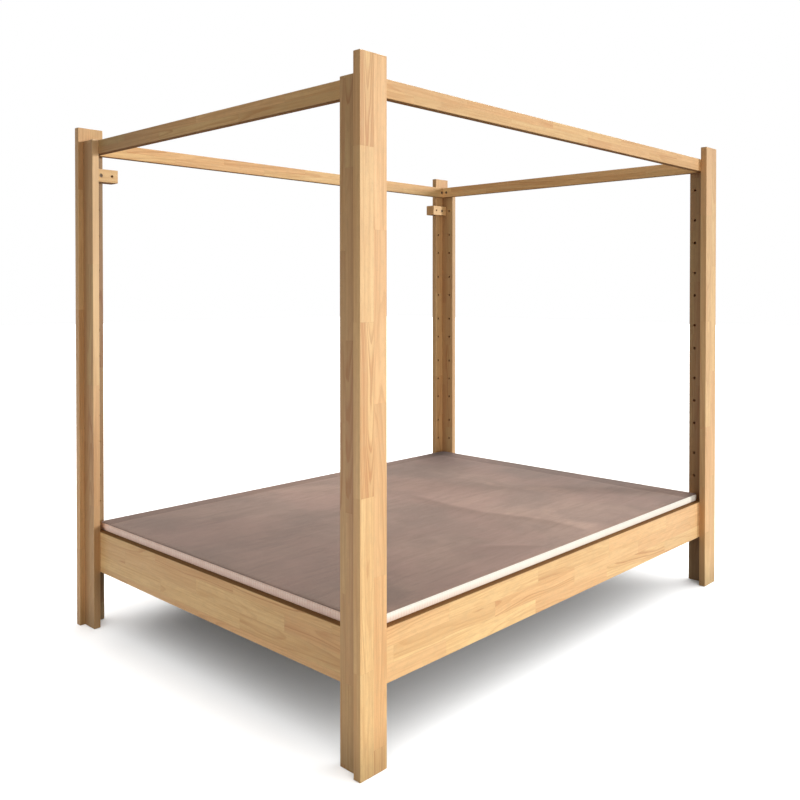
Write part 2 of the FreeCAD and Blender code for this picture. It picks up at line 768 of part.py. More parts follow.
def screw():
    """Countersunk wood screw."""
    body = fastener_body("screw_pattern_piece")
    padded_round(body, "screw_head_radius", "insert_sides", "screw_head_height", -COUNTERSINK_ANGLE)
    padded_round(body, "screw_radius", "shank_sides", "screw_length")
    return body


def fastener_group(label, pattern, spots):
    """Copies of one fastener, each at a place and with its head facing a direction."""
    copies = []
    for position, facing in spots:
        copy = pattern.Shape.copy()
        copy.Placement = FreeCAD.Placement(position, FreeCAD.Rotation(Vector(0, 0, 1), facing))
        copies.append(copy)
    group = doc.addObject("Part::Feature", label)
    group.Label = label
    group.Shape = Part.makeCompound(copies)
    nodes.append(group)


def bolt_spots(along_x, heights, corners, depth):
    """Places in the bolt rows of the side or end boards, at a depth outward from their inner faces."""
    spots = []
    for height in heights:
        for side_x, side_y in corners:
            if along_x:
                along = side_x * value("outer_row")
                across = side_y * (value("side_rail_face") + depth)
                facing = Vector(0, -side_y, 0)
            else:
                along = side_x * (value("end_rail_face") + depth)
                across = side_y * value("inner_row")
                facing = Vector(-side_x, 0, 0)
            spots.append((Vector(along, across, value(height)), facing))
    return spots


def fasteners():
    everywhere = list(CORNERS.values())
    at_back = [sides for sides in everywhere if sides[1] > 0]
    rail_heights = ("rail_bolt_low", "rail_bolt_high")
    head = value("bolt_recess_depth") - value("bolt_head_height")
    one_bolt = bolt()
    for label, heights in (("rail_bolts", rail_heights), ("beam_bolts", ("beam_bolt",))):
        spots = bolt_spots(True, heights, everywhere, head) + bolt_spots(False, heights, everywhere, head)
        fastener_group(label, one_bolt, spots)
    fastener_group("block_bolts", one_bolt, bolt_spots(True, ("block_bolt",), at_back, head))

    board = value("board_thickness")
    heights = rail_heights + ("beam_bolt",)
    spots = bolt_spots(True, heights, everywhere, board) + bolt_spots(False, heights, everywhere, board)
    spots += bolt_spots(True, ("block_bolt",), at_back, board)
    fastener_group("threaded_inserts", insert(), spots)

    one_screw = screw()
    steps = int(value("cleat_screw_steps"))
    cleat_spots, seat_spots = [], []
    for side in (-1, 1):
        face, up = side * value("cleat_face"), value("cleat_middle")
        for step in range(-steps, steps + 1):
            along = step * value("cleat_screw_pitch")
            cleat_spots.append((Vector(along, face, up), Vector(0, -side, 0)))
        face, up = side * value("seat_face"), value("seat_middle")
        for side_y in (-1, 1):
            seat_spots.append((Vector(face, side_y * value("seat_screw"), up), Vector(-side, 0, 0)))
    fastener_group("cleat_screws", one_screw, cleat_spots)
    fastener_group("seat_screws", one_screw, seat_spots)


# Build

for corner, sides in CORNERS.items():
    outer_post_board(corner, *sides)
    inner_post_board(corner, *sides)
    post_tongue(corner, *sides)
    if sides[1] > 0:
        drilled_block(corner, *sides)
lower_rails()
canopy_beams()
cleats()
centre_beam()
centre_beam_seats()
slats()
slat_straps()
mattress()
fasteners()
doc.recompute()

for item in doc.Objects:
    if "Invalid" in item.State or "Error" in item.State:
        raise ValueError("%s did not rebuild: %s" % (item.Label, item.State))
for node in nodes:
    if node.Shape.isNull() or not node.Shape.isValid():
        raise ValueError(node.Label + " has no sound shape")

os.makedirs("parts", exist_ok=True)
for node in nodes:
    node.Shape.exportStep(os.path.join("parts", node.Label + ".step"))
print("%d nodes, %d solids" % (len(nodes), sum(len(node.Shape.Solids) for node in nodes)))
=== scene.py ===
"""A four-poster bed of glued beech staves: its wood, metal and cloth, its thin mattress, and a plain
white studio round it. Lengths are in metres, +X runs along the bed and -Y is its front."""
import math

import bmesh
import bpy
from mathutils import Matrix, Vector, noise


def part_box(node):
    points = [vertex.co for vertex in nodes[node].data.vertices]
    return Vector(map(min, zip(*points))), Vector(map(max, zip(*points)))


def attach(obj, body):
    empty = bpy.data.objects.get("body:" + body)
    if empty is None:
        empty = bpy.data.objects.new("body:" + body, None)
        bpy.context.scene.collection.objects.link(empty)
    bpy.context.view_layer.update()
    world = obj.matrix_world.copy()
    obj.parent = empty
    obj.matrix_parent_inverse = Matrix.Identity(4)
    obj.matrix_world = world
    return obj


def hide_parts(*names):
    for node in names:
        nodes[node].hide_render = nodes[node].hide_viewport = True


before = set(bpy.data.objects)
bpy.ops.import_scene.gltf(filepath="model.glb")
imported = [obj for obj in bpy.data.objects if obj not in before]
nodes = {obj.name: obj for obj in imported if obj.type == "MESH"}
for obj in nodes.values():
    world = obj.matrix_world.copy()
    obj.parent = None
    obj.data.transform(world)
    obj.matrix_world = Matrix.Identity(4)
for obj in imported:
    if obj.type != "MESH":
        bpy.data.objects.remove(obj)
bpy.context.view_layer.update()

CAMERA_PLACE = (-2.63246, -2.38716, 1.27506)
CAMERA_PITCH = 0.6678
CAMERA_YAW = 46.3836
CAMERA_LENS = 38.907
CAMERA_SHIFT = (0.0045, -0.12244)

X_AXIS = Vector((1, 0, 0))
Y_AXIS = Vector((0, 1, 0))
Z_AXIS = Vector((0, 0, 1))


# Shader trees

class Shade:
    """One node tree, built by calls that each return the new node's output socket."""

    def __init__(self, tree):
        self.tree = tree

    def feed(self, socket, value):
        if isinstance(value, bpy.types.NodeSocket):
            self.tree.links.new(value, socket)
        else:
            socket.default_value = value

    def put(self, kind, values=(), out=0, **settings):
        made = self.tree.nodes.new("ShaderNode" + kind)
        for name, value in settings.items():
            setattr(made, name, value)
        for key, value in dict(values).items():
            self.feed(made.inputs[key], value)
        return made.outputs[out]

    def math(self, operation, *values):
        return self.put("Math", dict(enumerate(values)), operation=operation)

    def vector(self, operation, *values, out=0):
        return self.put("VectorMath", dict(enumerate(values)), out, operation=operation)

    def scaled(self, vector, scale):
        return self.put("VectorMath", {0: vector, "Scale": scale}, operation="SCALE")

    def split(self, vector):
        return self.put("SeparateXYZ", {0: vector}).node.outputs

    def join(self, *values):
        return self.put("CombineXYZ", dict(enumerate(values)))

    def step(self, value, low, high, start=0.0, end=1.0):
        """A smooth rise from start to end while value goes from low to high."""
        given = {"Value": value, "From Min": low, "From Max": high, "To Min": start, "To Max": end}
        return self.put("MapRange", given, interpolation_type="SMOOTHSTEP")

    def mix(self, share, first, second, blend="MIX"):
        given = {0: share, 6: first, 7: second}
        return self.put("Mix", given, 2, data_type="RGBA", blend_type=blend)

    def noise(self, vector, scale, detail=2.0, roughness=0.5, distortion=0.0, out=0):
        given = {"Vector": vector, "Scale": scale, "Detail": detail, "Roughness": roughness,
                 "Distortion": distortion}
        return self.put("TexNoise", given, out)

    def random(self, vector, out=0):
        return self.put("TexWhiteNoise", {"Vector": vector}, out, noise_dimensions="3D")


def node_group(name, inputs, outputs):
    """An empty shader group with those sockets: its Shade, its inputs and its output node."""
    tree = bpy.data.node_groups.new(name, "ShaderNodeTree")
    for label, kind in inputs:
        tree.interface.new_socket(label, in_out="INPUT", socket_type="NodeSocket" + kind)
    for label, kind in outputs:
        tree.interface.new_socket(label, in_out="OUTPUT", socket_type="NodeSocket" + kind)
    given = tree.nodes.new("NodeGroupInput").outputs
    result = tree.nodes.new("NodeGroupOutput").inputs
    return Shade(tree), given, result


def use_group(shade, group, values):
    """That group placed in a tree, its inputs filled by name: its outputs."""
    made = shade.tree.nodes.new("ShaderNodeGroup")
    made.node_tree = group
    for label, value in values.items():
        shade.feed(made.inputs[label], value)
    return made.outputs


def new_material(name, roughness, specular=0.5, metallic=0.0):
    """A material with its Principled shader: its Shade and the shader's inputs."""
    material = bpy.data.materials.new(name)
    material.use_nodes = True
    shader = material.node_tree.nodes["Principled BSDF"]
    shader.inputs["Roughness"].default_value = roughness
    shader.inputs["Specular IOR Level"].default_value = specular
    shader.inputs["Metallic"].default_value = metallic
    return material, Shade(material.node_tree), shader.inputs


def raise_surface(shade, height, distance, strength=1.0):
    return shade.put("Bump", {"Height": height, "Distance": distance, "Strength": strength})


# Wood

STAVE_LENGTH = 0.4575
STAVE_WIDTH = 0.050
STAVE_LAP = 0.468
GLUE_LINE = 0.0004


def stave_layout():
    """Where a point lies among a board's edge-glued staves, which are laid like bricks."""
    shade, given, result = node_group(
        "stave layout",
        [("Place", "Vector"), ("Row Start", "Float"), ("Joint Start", "Float"), ("Seed", "Float")],
        [("Stave Place", "Vector"), ("Stave", "Color"), ("Glue Line", "Float")])
    along, across, through = shade.split(given["Place"])
    rows = shade.math("DIVIDE", shade.math("ADD", across, given["Row Start"]), STAVE_WIDTH)
    row = shade.math("FLOOR", rows)
    row_draw = shade.random(shade.join(row, given["Seed"], 3.0))
    beyond_first = shade.math("MINIMUM", shade.math("ABSOLUTE", row), 1.0)
    uneven = shade.math("MULTIPLY", shade.math("MULTIPLY", row_draw, 0.04), beyond_first)
    lap = shade.math("MULTIPLY_ADD", row, STAVE_LAP, uneven)
    from_joint = shade.math("SUBTRACT", along, given["Joint Start"])
    staves = shade.math("ADD", shade.math("DIVIDE", from_joint, STAVE_LENGTH), lap)
    stave = shade.math("FLOOR", staves)
    draw = shade.random(shade.join(row, stave, given["Seed"]), 1)
    in_row = shade.math("SUBTRACT", rows, row)
    in_stave = shade.math("SUBTRACT", staves, stave)
    to_side = shade.math("MULTIPLY", shade.math("PINGPONG", in_row, 0.5), STAVE_WIDTH)
    to_end = shade.math("MULTIPLY", shade.math("PINGPONG", in_stave, 0.5), STAVE_LENGTH)
    line = shade.step(shade.math("MINIMUM", to_side, to_end), 0.0, GLUE_LINE, 1.0, 0.0)
    middle = shade.math("MULTIPLY", shade.math("SUBTRACT", in_row, 0.5), STAVE_WIDTH)
    half_way = shade.math("MULTIPLY", shade.math("SUBTRACT", in_stave, 0.5), STAVE_LENGTH)
    shade.feed(result["Stave Place"], shade.join(half_way, middle, through))
    shade.feed(result["Stave"], draw)
    shade.feed(result["Glue Line"], line)
    return shade.tree


RING_WIDTH = 0.0044
PITH_OFFSET = 0.032
PITH_NEAREST = 0.016
PITH_REACH = 0.10
LARGEST_TAPER = 0.032
BOLD_RING = 0.34


def beech_figure():
    """The figure of one stave sawn from a beech log: growth rings round a pith that lies outside it,
    long fibre streaks, a soft mottle, and the short dark flecks of the rays. Where it's bold, every
    ring shows."""
    shade, given, result = node_group(
        "beech figure",
        [("Stave Place", "Vector"), ("Stave", "Color"), ("Bold", "Float")],
        [("Rings", "Float"), ("Streaks", "Float"), ("Mottle", "Float"), ("Flecks", "Float"),
         ("Fibres", "Float")])
    place = given["Stave Place"]
    along, across, through = shade.split(place)
    first, second, third = shade.split(given["Stave"])
    moved = shade.vector("ADD", place, shade.scaled(given["Stave"], 9.0))

    def drawn_out(lengthwise, crosswise, detail, roughness=0.5):
        """Noise with that many cells to a metre along the grain and across it."""
        cells = shade.vector("MULTIPLY", moved, (lengthwise, crosswise, crosswise))
        return shade.noise(cells, 1.0, detail, roughness)

    pith_across = shade.math("MULTIPLY_ADD", first, 2 * PITH_OFFSET, -PITH_OFFSET)
    pith_depth = shade.math("MULTIPLY_ADD", shade.math("POWER", second, 1.6), PITH_REACH, PITH_NEAREST)
    sideways = shade.math("SUBTRACT", across, pith_across)
    depth = shade.math("ADD", through, pith_depth)
    radius = shade.vector("LENGTH", shade.join(sideways, depth, 0.0), out=1)
    taper = shade.math("MULTIPLY_ADD", third, 2 * LARGEST_TAPER, -LARGEST_TAPER)
    leaning = shade.math("MULTIPLY_ADD", along, taper, radius)
    leaning = shade.math("MULTIPLY_ADD", drawn_out(2.4, 13.0, 1.0), 0.024, leaning)
    leaning = shade.math("MULTIPLY_ADD", drawn_out(9.0, 60.0, 2.0), 0.0035, leaning)
    rings = shade.math("DIVIDE", leaning, RING_WIDTH)
    ring = shade.math("FLOOR", rings)
    in_ring = shade.math("SUBTRACT", rings, ring)
    ring_draw = shade.random(shade.join(ring, first, 1.0))
    late_wood = shade.math("MULTIPLY", shade.step(in_ring, 0.35, 0.90),
                           shade.step(in_ring, 0.90, 1.0, 1.0, 0.0))
    growth = shade.noise(shade.join(shade.math("MULTIPLY", rings, 0.32), first, 0.0), 1.0, 2.0)
    weight = shade.math("MULTIPLY_ADD", shade.math("POWER", ring_draw, 1.5), 0.85, 0.15)
    weight = shade.math("MULTIPLY", weight, shade.step(growth, 0.38, 0.66, 0.24, 1.0))
    weight = shade.math("MAXIMUM", weight, shade.math("MULTIPLY", given["Bold"], BOLD_RING))
    broad = shade.math("MULTIPLY", shade.step(growth, 0.36, 0.70), 0.45)
    shade.feed(result["Rings"], shade.math("MULTIPLY_ADD", late_wood, weight, broad))
    shade.feed(result["Streaks"], drawn_out(4.0, 170.0, 3.0, 0.6))
    shade.feed(result["Mottle"], drawn_out(30.0, 75.0, 3.0, 0.55))
    shade.feed(result["Flecks"], shade.step(drawn_out(190.0, 1000.0, 1.0), 0.62, 0.72))
    shade.feed(result["Fibres"], drawn_out(45.0, 2300.0, 2.0, 0.6))
    return shade.tree


def board_arris():
    """How near a point is to the edges of a board of that half size, from 0 to 1 on the edge, and
    whether it lies in a bore, below all the board's faces."""
    shade, given, result = node_group(
        "board arris", [("Place", "Vector"), ("Half Size", "Vector")], [("Edge", "Float"), ("Bore", "Float")])
    inward = shade.vector("SUBTRACT", given["Half Size"], shade.vector("ABSOLUTE", given["Place"]))
    a, b, c = shade.split(inward)
    low_pair, high_pair = shade.math("MINIMUM", a, b), shade.math("MAXIMUM", a, b)
    second = shade.math("MAXIMUM", low_pair, shade.math("MINIMUM", high_pair, c))
    shade.feed(result["Edge"], shade.step(second, 0.0006, 0.0026, 1.0, 0.0))
    shade.feed(result["Bore"], shade.step(shade.math("MINIMUM", low_pair, c), 0.0005, 0.0030))
    return shade.tree


STAVES = stave_layout()
FIGURE = beech_figure()
ARRIS = board_arris()

OILED_BEECH = {"pale": (0.925, 0.625, 0.276, 1), "rosy": (0.905, 0.552, 0.246, 1),
               "tan": (0.640, 0.400, 0.180, 1), "roughness": 0.5, "figure": 1.0}
PLANED_BEECH = {"pale": (0.86, 0.63, 0.39, 1), "rosy": (0.83, 0.57, 0.35, 1),
                "tan": (0.70, 0.48, 0.28, 1), "roughness": 0.68, "figure": 0.8}
SLAT_WOOD = {"pale": (0.89, 0.70, 0.45, 1), "rosy": (0.86, 0.65, 0.41, 1),
             "tan": (0.76, 0.57, 0.36, 1), "roughness": 0.64, "figure": 0.6}
RING_TINT = (0.56, 0.245, 0.080, 1)
FLECK_AND_SHADE_TINT = (0.36, 0.17, 0.07, 1)
WOOD_SHEEN = 0.35
BEAM_SHEEN = 0.20

# Painted shade that multiplies the wood's colour where a whole face or board is evenly darker than plain
# studio light makes it, and painted light on two beams that are lighter
RAIL_TOP_SHADE = (0.31, 0.23, 0.12, 1)
LEFT_RAIL_TOP_SHADE = (0.39, 0.34, 0.235, 1)
UNDERSIDE_SHADE = (0.36, 0.29, 0.23, 1)
WIDE_FACE_SHADE = (0.67, 0.655, 0.65, 1)
FOOT_SHADE = (0.66, 0.66, 0.62, 1)
LEFT_BEAM_END_SHADE = (0.52, 0.50, 0.48, 1)
LOWER_EDGE_SHADE = (0.82, 0.81, 0.80, 1)
BESIDE_SHADE = (0.47, 0.45, 0.43, 1)
BOARD_SHADES = {"left_end_rail": (0.80, 0.79, 0.79, 1),
                "front_canopy_beam": (0.96, 0.95, 0.95, 1),
                "back_canopy_beam": (1.05, 1.05, 1.05, 1),
                "left_canopy_beam": (0.88, 0.87, 0.87, 1),
                "right_canopy_beam": (1.05, 1.05, 1.05, 1),
                "front_right_post_outer_board": (0.90, 0.885, 0.87, 1),
                "front_right_post_inner_board": (0.68, 0.66, 0.64, 1),
                "back_left_post_outer_board": (0.86, 0.85, 0.84, 1),
                "back_left_post_inner_board": (0.85, 0.84, 0.83, 1),
                "back_right_post_outer_board": (0.90, 0.88, 0.87, 1)}
# The tone of the back left post's narrow edge where it catches the light, high up
EDGE_GLOW = (0.98, 0.68, 0.36, 1)
# The roughness of the rails' tops and of the undersides of the beams and blocks
RAIL_TOP_ROUGHNESS = 0.95
UNDERSIDE_ROUGHNESS = 0.98

# Staves with a bold arched figure: where they start and end along the board, how far across they reach,
# and the draw that gives them their arches
BOLD_STAVES = {"front_left_post_outer_board": [(0.7385, 1.196, 0.050, (0.72, 0.05, 0.02, 1)),
                                               (1.6535, 1.91, 0.050, (0.54, 0.06, -0.60, 1))],
               "front_left_post_inner_board": [(0.6885, 1.146, 0.050, (0.68, 0.05, -0.10, 1))]}


def bold_staves(shade, node, corner, flat_on, stave):
    """The draws of the board's staves with those of its bold ones put in, and where these lie."""
    along_board, across_board, _ = shade.split(corner)
    bold = 0.0
    for start, end, top, draw in BOLD_STAVES.get(node, []):
        inside = shade.math("MULTIPLY", shade.step(along_board, start - GLUE_LINE, start),
                            shade.step(along_board, end, end + GLUE_LINE, 1.0, 0.0))
        inside = shade.math("MULTIPLY", inside, shade.step(across_board, top, top + GLUE_LINE, 1.0, 0.0))
        inside = shade.math("MULTIPLY", inside, flat_on)
        bold = shade.math("MAXIMUM", inside, bold)
        stave = shade.mix(inside, stave, draw)
    return stave, bold


def beech_colour(shade, finish, stave, bold, figure, glue_line, end_grain, arris):
    """Each stave's own tone with its rings, streaks, mottle and flecks, and then the glue lines, the
    darker end grain, the lighter arrises, worn and with a painted highlight, and painted shade in the bores."""
    first, second, third = shade.split(stave)
    colour = shade.mix(shade.step(third, 0.15, 0.85), finish["pale"], finish["rosy"])
    colour = shade.mix(shade.math("MULTIPLY", shade.math("POWER", second, 1.8), 0.36), colour, finish["tan"])
    boldness = shade.math("MULTIPLY_ADD", shade.math("POWER", first, 1.5), 0.52, 0.50)
    boldness = shade.math("MULTIPLY_ADD", bold, 1.1, boldness)
    rings = shade.math("MULTIPLY", figure["Rings"], shade.math("MULTIPLY", boldness, finish["figure"]))
    for share, tint in (
            (shade.math("MULTIPLY", bold, 0.20), RING_TINT),
            (shade.math("MINIMUM", rings, 0.85), RING_TINT),
            (shade.step(figure["Streaks"], 0.42, 0.66, 0.0, 0.30), RING_TINT),
            (shade.step(figure["Mottle"], 0.42, 0.70, 0.0, 0.30), finish["tan"]),
            (shade.math("MULTIPLY", figure["Flecks"], 0.24), FLECK_AND_SHADE_TINT),
            (shade.math("MULTIPLY", glue_line, 0.34), FLECK_AND_SHADE_TINT),
            (shade.math("MULTIPLY", end_grain, 0.35), RING_TINT),
            # The lighter arrises are wear with a painted highlight; the darker bores are painted shade
            (shade.math("MULTIPLY", arris["Edge"], 0.16), finish["pale"]),
            (shade.math("MULTIPLY", arris["Bore"], 0.75), FLECK_AND_SHADE_TINT)):
        colour = shade.mix(share, colour, tint)
    return colour


def square_to(shade, facing, axis):
    """How squarely a face looks along an axis: 1 when it looks straight along it, 0 when it's turned off."""
    return shade.step(shade.vector("DOT_PRODUCT", facing, tuple(axis), out=1), 0.5, 0.9)


def shaded_rail(shade, node, colour, facing):
    """The colour of a rail with painted shade on its top, and the roughness that its top has at least."""
    upward = square_to(shade, facing, Z_AXIS)
    top_shade = LEFT_RAIL_TOP_SHADE if node == "left_end_rail" else RAIL_TOP_SHADE
    return (shade.mix(upward, colour, top_shade, "MULTIPLY"),
            shade.math("MULTIPLY", upward, RAIL_TOP_ROUGHNESS))


def shaded_underside(shade, colour, facing):
    """The colour of a beam or block with painted shade on its underside, and the roughness of that at least.
    """
    downward = square_to(shade, facing, -Z_AXIS)
    return (shade.mix(downward, colour, UNDERSIDE_SHADE, "MULTIPLY"),
            shade.math("MULTIPLY", downward, UNDERSIDE_ROUGHNESS))


def shaded_wide_faces(shade, node, colour, y, wide):
    """The colour of a post's inner board with painted shade on its wide faces, deepest by the glued joint."""
    low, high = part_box(node)
    to_joint = shade.math("SUBTRACT", max(high.y, -low.y), shade.math("ABSOLUTE", y))
    darkened = shade.math("MULTIPLY", wide, shade.step(to_joint, 0.012, 0.048, 0.55, 0.0))
    colour = shade.mix(wide, colour, WIDE_FACE_SHADE, "MULTIPLY")
    return shade.mix(darkened, colour, FLECK_AND_SHADE_TINT)


def shaded_edge(shade, colour, z, wide):
    """The back left inner board's narrow edge: painted shade low down, a lighter and warmer painted highlight
    high up.
    """
    narrow = shade.math("SUBTRACT", 1.0, wide)
    upper = shade.math("MULTIPLY", narrow, shade.step(z, 0.5, 1.3))
    lower = shade.math("MULTIPLY", narrow, shade.step(z, 0.4, 1.0, 1.0, 0.0))
    colour = shade.mix(lower, colour, LOWER_EDGE_SHADE, "MULTIPLY")
    return shade.mix(shade.math("MULTIPLY", upper, 0.5), colour, EDGE_GLOW)


def shaded_beside(shade, colour, x, z, flat_on):
    """The painted shade on the strip of the back left outer board that lies beside its inner board, up to the
    beams.
    """
    inner_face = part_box("back_left_post_inner_board")[1].x
    beam_low, beam_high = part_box("back_canopy_beam")
    beside = shade.math("MULTIPLY", shade.step(x, inner_face - 0.001, inner_face + 0.002),
                        shade.step(z, beam_low.z, beam_high.z, 1.0, 0.0))
    return shade.mix(shade.math("MULTIPLY", beside, flat_on), colour, BESIDE_SHADE, "MULTIPLY")


def board_shading(shade, node, colour, place, facing, flat_on):
    """The colour with the painted shade of that board's faces, painted light on two beams, and the roughness
    that its faces have at least.
    """
    x, y, z = shade.split(place)
    least_rough = 0.0
    where = 1.0
    if node.endswith("rail"):
        colour, least_rough = shaded_rail(shade, node, colour, facing)
    if node.endswith("inner_board"):
        where = shade.step(shade.math("ABSOLUTE", shade.split(facing)[0]), 0.5, 0.9)
        colour = shaded_wide_faces(shade, node, colour, y, where)
    if node == "front_right_post_outer_board":
        # Painted shade on its front face, deepening with height; a share above 1 counts as 1
        where = shade.math("MULTIPLY", shade.step(z, 0.2, 1.3, 0.6, 1.7), flat_on)
    # Painted shade on whole boards or faces, and painted light on two beams
    if node in BOARD_SHADES:
        colour = shade.mix(where, colour, BOARD_SHADES[node], "MULTIPLY")
    if node == "left_canopy_beam":
        # Painted shade on the left beam, deepening towards the back
        backward = shade.step(y, 0.0, 0.65, 0.0, 0.75)
        colour = shade.mix(backward, colour, LEFT_BEAM_END_SHADE, "MULTIPLY")
    if node == "back_left_post_inner_board":
        colour = shaded_edge(shade, colour, z, where)
    if node.endswith("canopy_beam") or node.endswith("block"):
        colour, least_rough = shaded_underside(shade, colour, facing)
    if node == "back_left_post_outer_board":
        colour = shaded_beside(shade, colour, x, z, flat_on)
    if "_post_" in node:
        # Painted shade on the posts, deepening towards the floor
        foot = shade.step(z, -0.02, 0.15, 1.0, 0.0)
        colour = shade.mix(foot, colour, FOOT_SHADE, "MULTIPLY")
    return colour, least_rough


def wood_material(node, along, across, finish, seed, row_start=0.0, joint_start=None):
    """Wood for one board, with its grain along one axis and its staves side by side along another."""
    low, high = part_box(node)
    centre, half = (low + high) / 2, (high - low) / 2
    turn = Matrix((along, across, along.cross(across)))
    if joint_start is None:
        joint_start = (seed * 0.377 % 1.0) * STAVE_LENGTH
    else:
        joint_start -= low.dot(along)
    sheen = BEAM_SHEEN if node.endswith("canopy_beam") else WOOD_SHEEN
    material, shade, surface = new_material("wood " + node.replace("_", " "), finish["roughness"], sheen)
    place = shade.put("TexCoord", out=3)
    facing = shade.put("TexCoord", out=1)
    turned = shade.put("Mapping", {"Vector": place, "Rotation": turn.to_euler("XYZ"),
                                   "Location": -(turn @ centre)}, vector_type="POINT")
    half_turned = Vector(abs(v) for v in turn @ half)
    corner = shade.vector("ADD", turned, tuple(half_turned))
    staves = use_group(shade, STAVES, {"Place": corner, "Row Start": row_start,
                                       "Joint Start": joint_start, "Seed": seed})
    sideways = shade.math("ABSOLUTE", shade.vector("DOT_PRODUCT", facing, tuple(across), out=1))
    flat_on = shade.math("SUBTRACT", 1.0, sideways)
    end_grain = shade.math("ABSOLUTE", shade.vector("DOT_PRODUCT", facing, tuple(along), out=1))
    stave, bold = bold_staves(shade, node, corner, flat_on, staves["Stave"])
    figure = use_group(shade, FIGURE, {"Stave Place": staves["Stave Place"], "Stave": stave, "Bold": bold})
    arris = use_group(shade, ARRIS, {"Place": turned, "Half Size": tuple(half_turned)})
    colour = beech_colour(shade, finish, stave, bold, figure, staves["Glue Line"], end_grain, arris)
    colour, least_rough = board_shading(shade, node, colour, place, facing, flat_on)
    shade.feed(surface["Base Color"], colour)
    rough = shade.math("MULTIPLY_ADD", figure["Streaks"], 0.16, finish["roughness"] - 0.08)
    shade.feed(surface["Roughness"], shade.math("MAXIMUM", rough, least_rough))
    height = shade.math("MULTIPLY_ADD", figure["Flecks"], -0.6, figure["Fibres"])
    height = shade.math("MULTIPLY_ADD", staves["Glue Line"], -1.2, height)
    shade.feed(surface["Normal"], raise_surface(shade, height, 0.00012, 0.6))
    return material


def finish_node(node, material):
    """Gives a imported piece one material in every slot."""
    slots = nodes[node].data.materials
    if not len(slots):
        slots.append(material)
    for number in range(len(slots)):
        slots[number] = material


# Where a stave joint of the first row lies along these boards; the others take theirs from their seed
FIRST_JOINTS = {"front_left_post_outer_board": 0.281, "front_left_post_inner_board": 0.231,
                "front_side_rail": 0.203}


def finish_wood():
    """Every wooden piece gets its grain the way its board was cut."""
    seed = 1.0
    for side in ("front", "back"):
        for end in ("left", "right"):
            post = side + "_" + end + "_post_"
            for piece, across in (("outer_board", X_AXIS), ("inner_board", Y_AXIS), ("tongue", Y_AXIS)):
                kind = PLANED_BEECH if piece == "tongue" else OILED_BEECH
                joint = FIRST_JOINTS.get(post + piece)
                finish_node(post + piece, wood_material(post + piece, Z_AXIS, across, kind, seed, 0.0, joint))
                seed += 1.0
    lying = [("front_side_rail", X_AXIS, 0.0), ("back_side_rail", X_AXIS, 0.0),
             ("left_end_rail", Y_AXIS, 0.028), ("right_end_rail", Y_AXIS, 0.012),
             ("front_canopy_beam", X_AXIS, 0.024), ("back_canopy_beam", X_AXIS, 0.024),
             ("left_canopy_beam", Y_AXIS, 0.024), ("right_canopy_beam", Y_AXIS, 0.024),
             ("back_left_drilled_block", X_AXIS, 0.0), ("back_right_drilled_block", X_AXIS, 0.0)]
    for node, along, row_start in lying:
        finish_node(node, wood_material(node, along, Z_AXIS, OILED_BEECH, seed, row_start,
                                        FIRST_JOINTS.get(node)))
        seed += 1.0
    hidden = [("front_cleat", X_AXIS), ("back_cleat", X_AXIS), ("centre_beam", X_AXIS),
              ("left_centre_beam_seat", Y_AXIS), ("right_centre_beam_seat", Y_AXIS)]
    for node, along in hidden:
        finish_node(node, wood_material(node, along, Z_AXIS, PLANED_BEECH, seed))
        seed += 1.0
    for node in sorted(nodes):
        if node.startswith("slat_") and node[5:].isdigit():
            finish_node(node, wood_material(node, Y_AXIS, X_AXIS, SLAT_WOOD, seed))
            seed += 1.0


# Metal

def steel_material(name, colour, roughness):
    """Plated steel with the fine turning marks and the mottle of its plating."""
    material, shade, surface = new_material(name, roughness, 0.5, 1.0)
    place = shade.put("TexCoord", out=3)
    mottle = shade.noise(place, 420.0, 3.0, 0.6)
    marks = shade.noise(shade.vector("MULTIPLY", place, (1.0, 1.0, 6.0)), 1600.0, 1.0)
    darkened = tuple(0.6 * c for c in colour) + (1,)
    shade.feed(surface["Base Color"], shade.mix(shade.step(mottle, 0.35, 0.7), colour + (1,), darkened))
    shade.feed(surface["Roughness"], shade.math("MULTIPLY_ADD", mottle, 0.3, roughness - 0.15))
    shade.feed(surface["Normal"], raise_surface(shade, marks, 0.00004, 0.4))
    return material


def finish_metal():
    bolts = steel_material("dark plated bolt steel", (0.15, 0.105, 0.07), 0.60)
    inserts = steel_material("plated insert steel", (0.62, 0.60, 0.54), 0.36)
    screws = steel_material("plated screw steel", (0.66, 0.63, 0.55), 0.34)
    for node, material in (("rail_bolts", bolts), ("beam_bolts", bolts), ("block_bolts", bolts),
                           ("threaded_inserts", inserts), ("cleat_screws", screws),
                           ("seat_screws", screws)):
        finish_node(node, material)


# Cloth

def weave_threads():
    """A plain weave of that pitch across two flat directions: the threads' height and their shade."""
    shade, given, result = node_group(
        "plain weave", [("Flat Place", "Vector"), ("Pitch", "Float")],
        [("Height", "Float"), ("Slub", "Float")])
    u, v, _ = shade.split(shade.vector("DIVIDE", given["Flat Place"],
                                       shade.join(given["Pitch"], given["Pitch"], given["Pitch"])))
    warp = shade.math("ABSOLUTE", shade.math("SINE", shade.math("MULTIPLY", u, math.pi)))
    weft = shade.math("ABSOLUTE", shade.math("SINE", shade.math("MULTIPLY", v, math.pi)))
    square = shade.math("ADD", shade.math("FLOOR", u), shade.math("FLOOR", v))
    over = shade.math("MODULO", shade.math("ABSOLUTE", square), 2.0)
    height = shade.math("ADD", shade.math("MULTIPLY", over, warp),
                        shade.math("MULTIPLY", shade.math("SUBTRACT", 1.0, over), weft))
    along_warp = shade.noise(shade.join(shade.math("MULTIPLY", shade.math("FLOOR", u), 7.31), v, 0.0), 0.12)
    along_weft = shade.noise(shade.join(u, shade.math("MULTIPLY", shade.math("FLOOR", v), 5.17), 4.0), 0.12)
    shade.feed(result["Height"], height)
    shade.feed(result["Slub"], shade.math("MULTIPLY", shade.math("ADD", along_warp, along_weft), 0.5))
    return shade.tree


WEAVE = weave_threads()


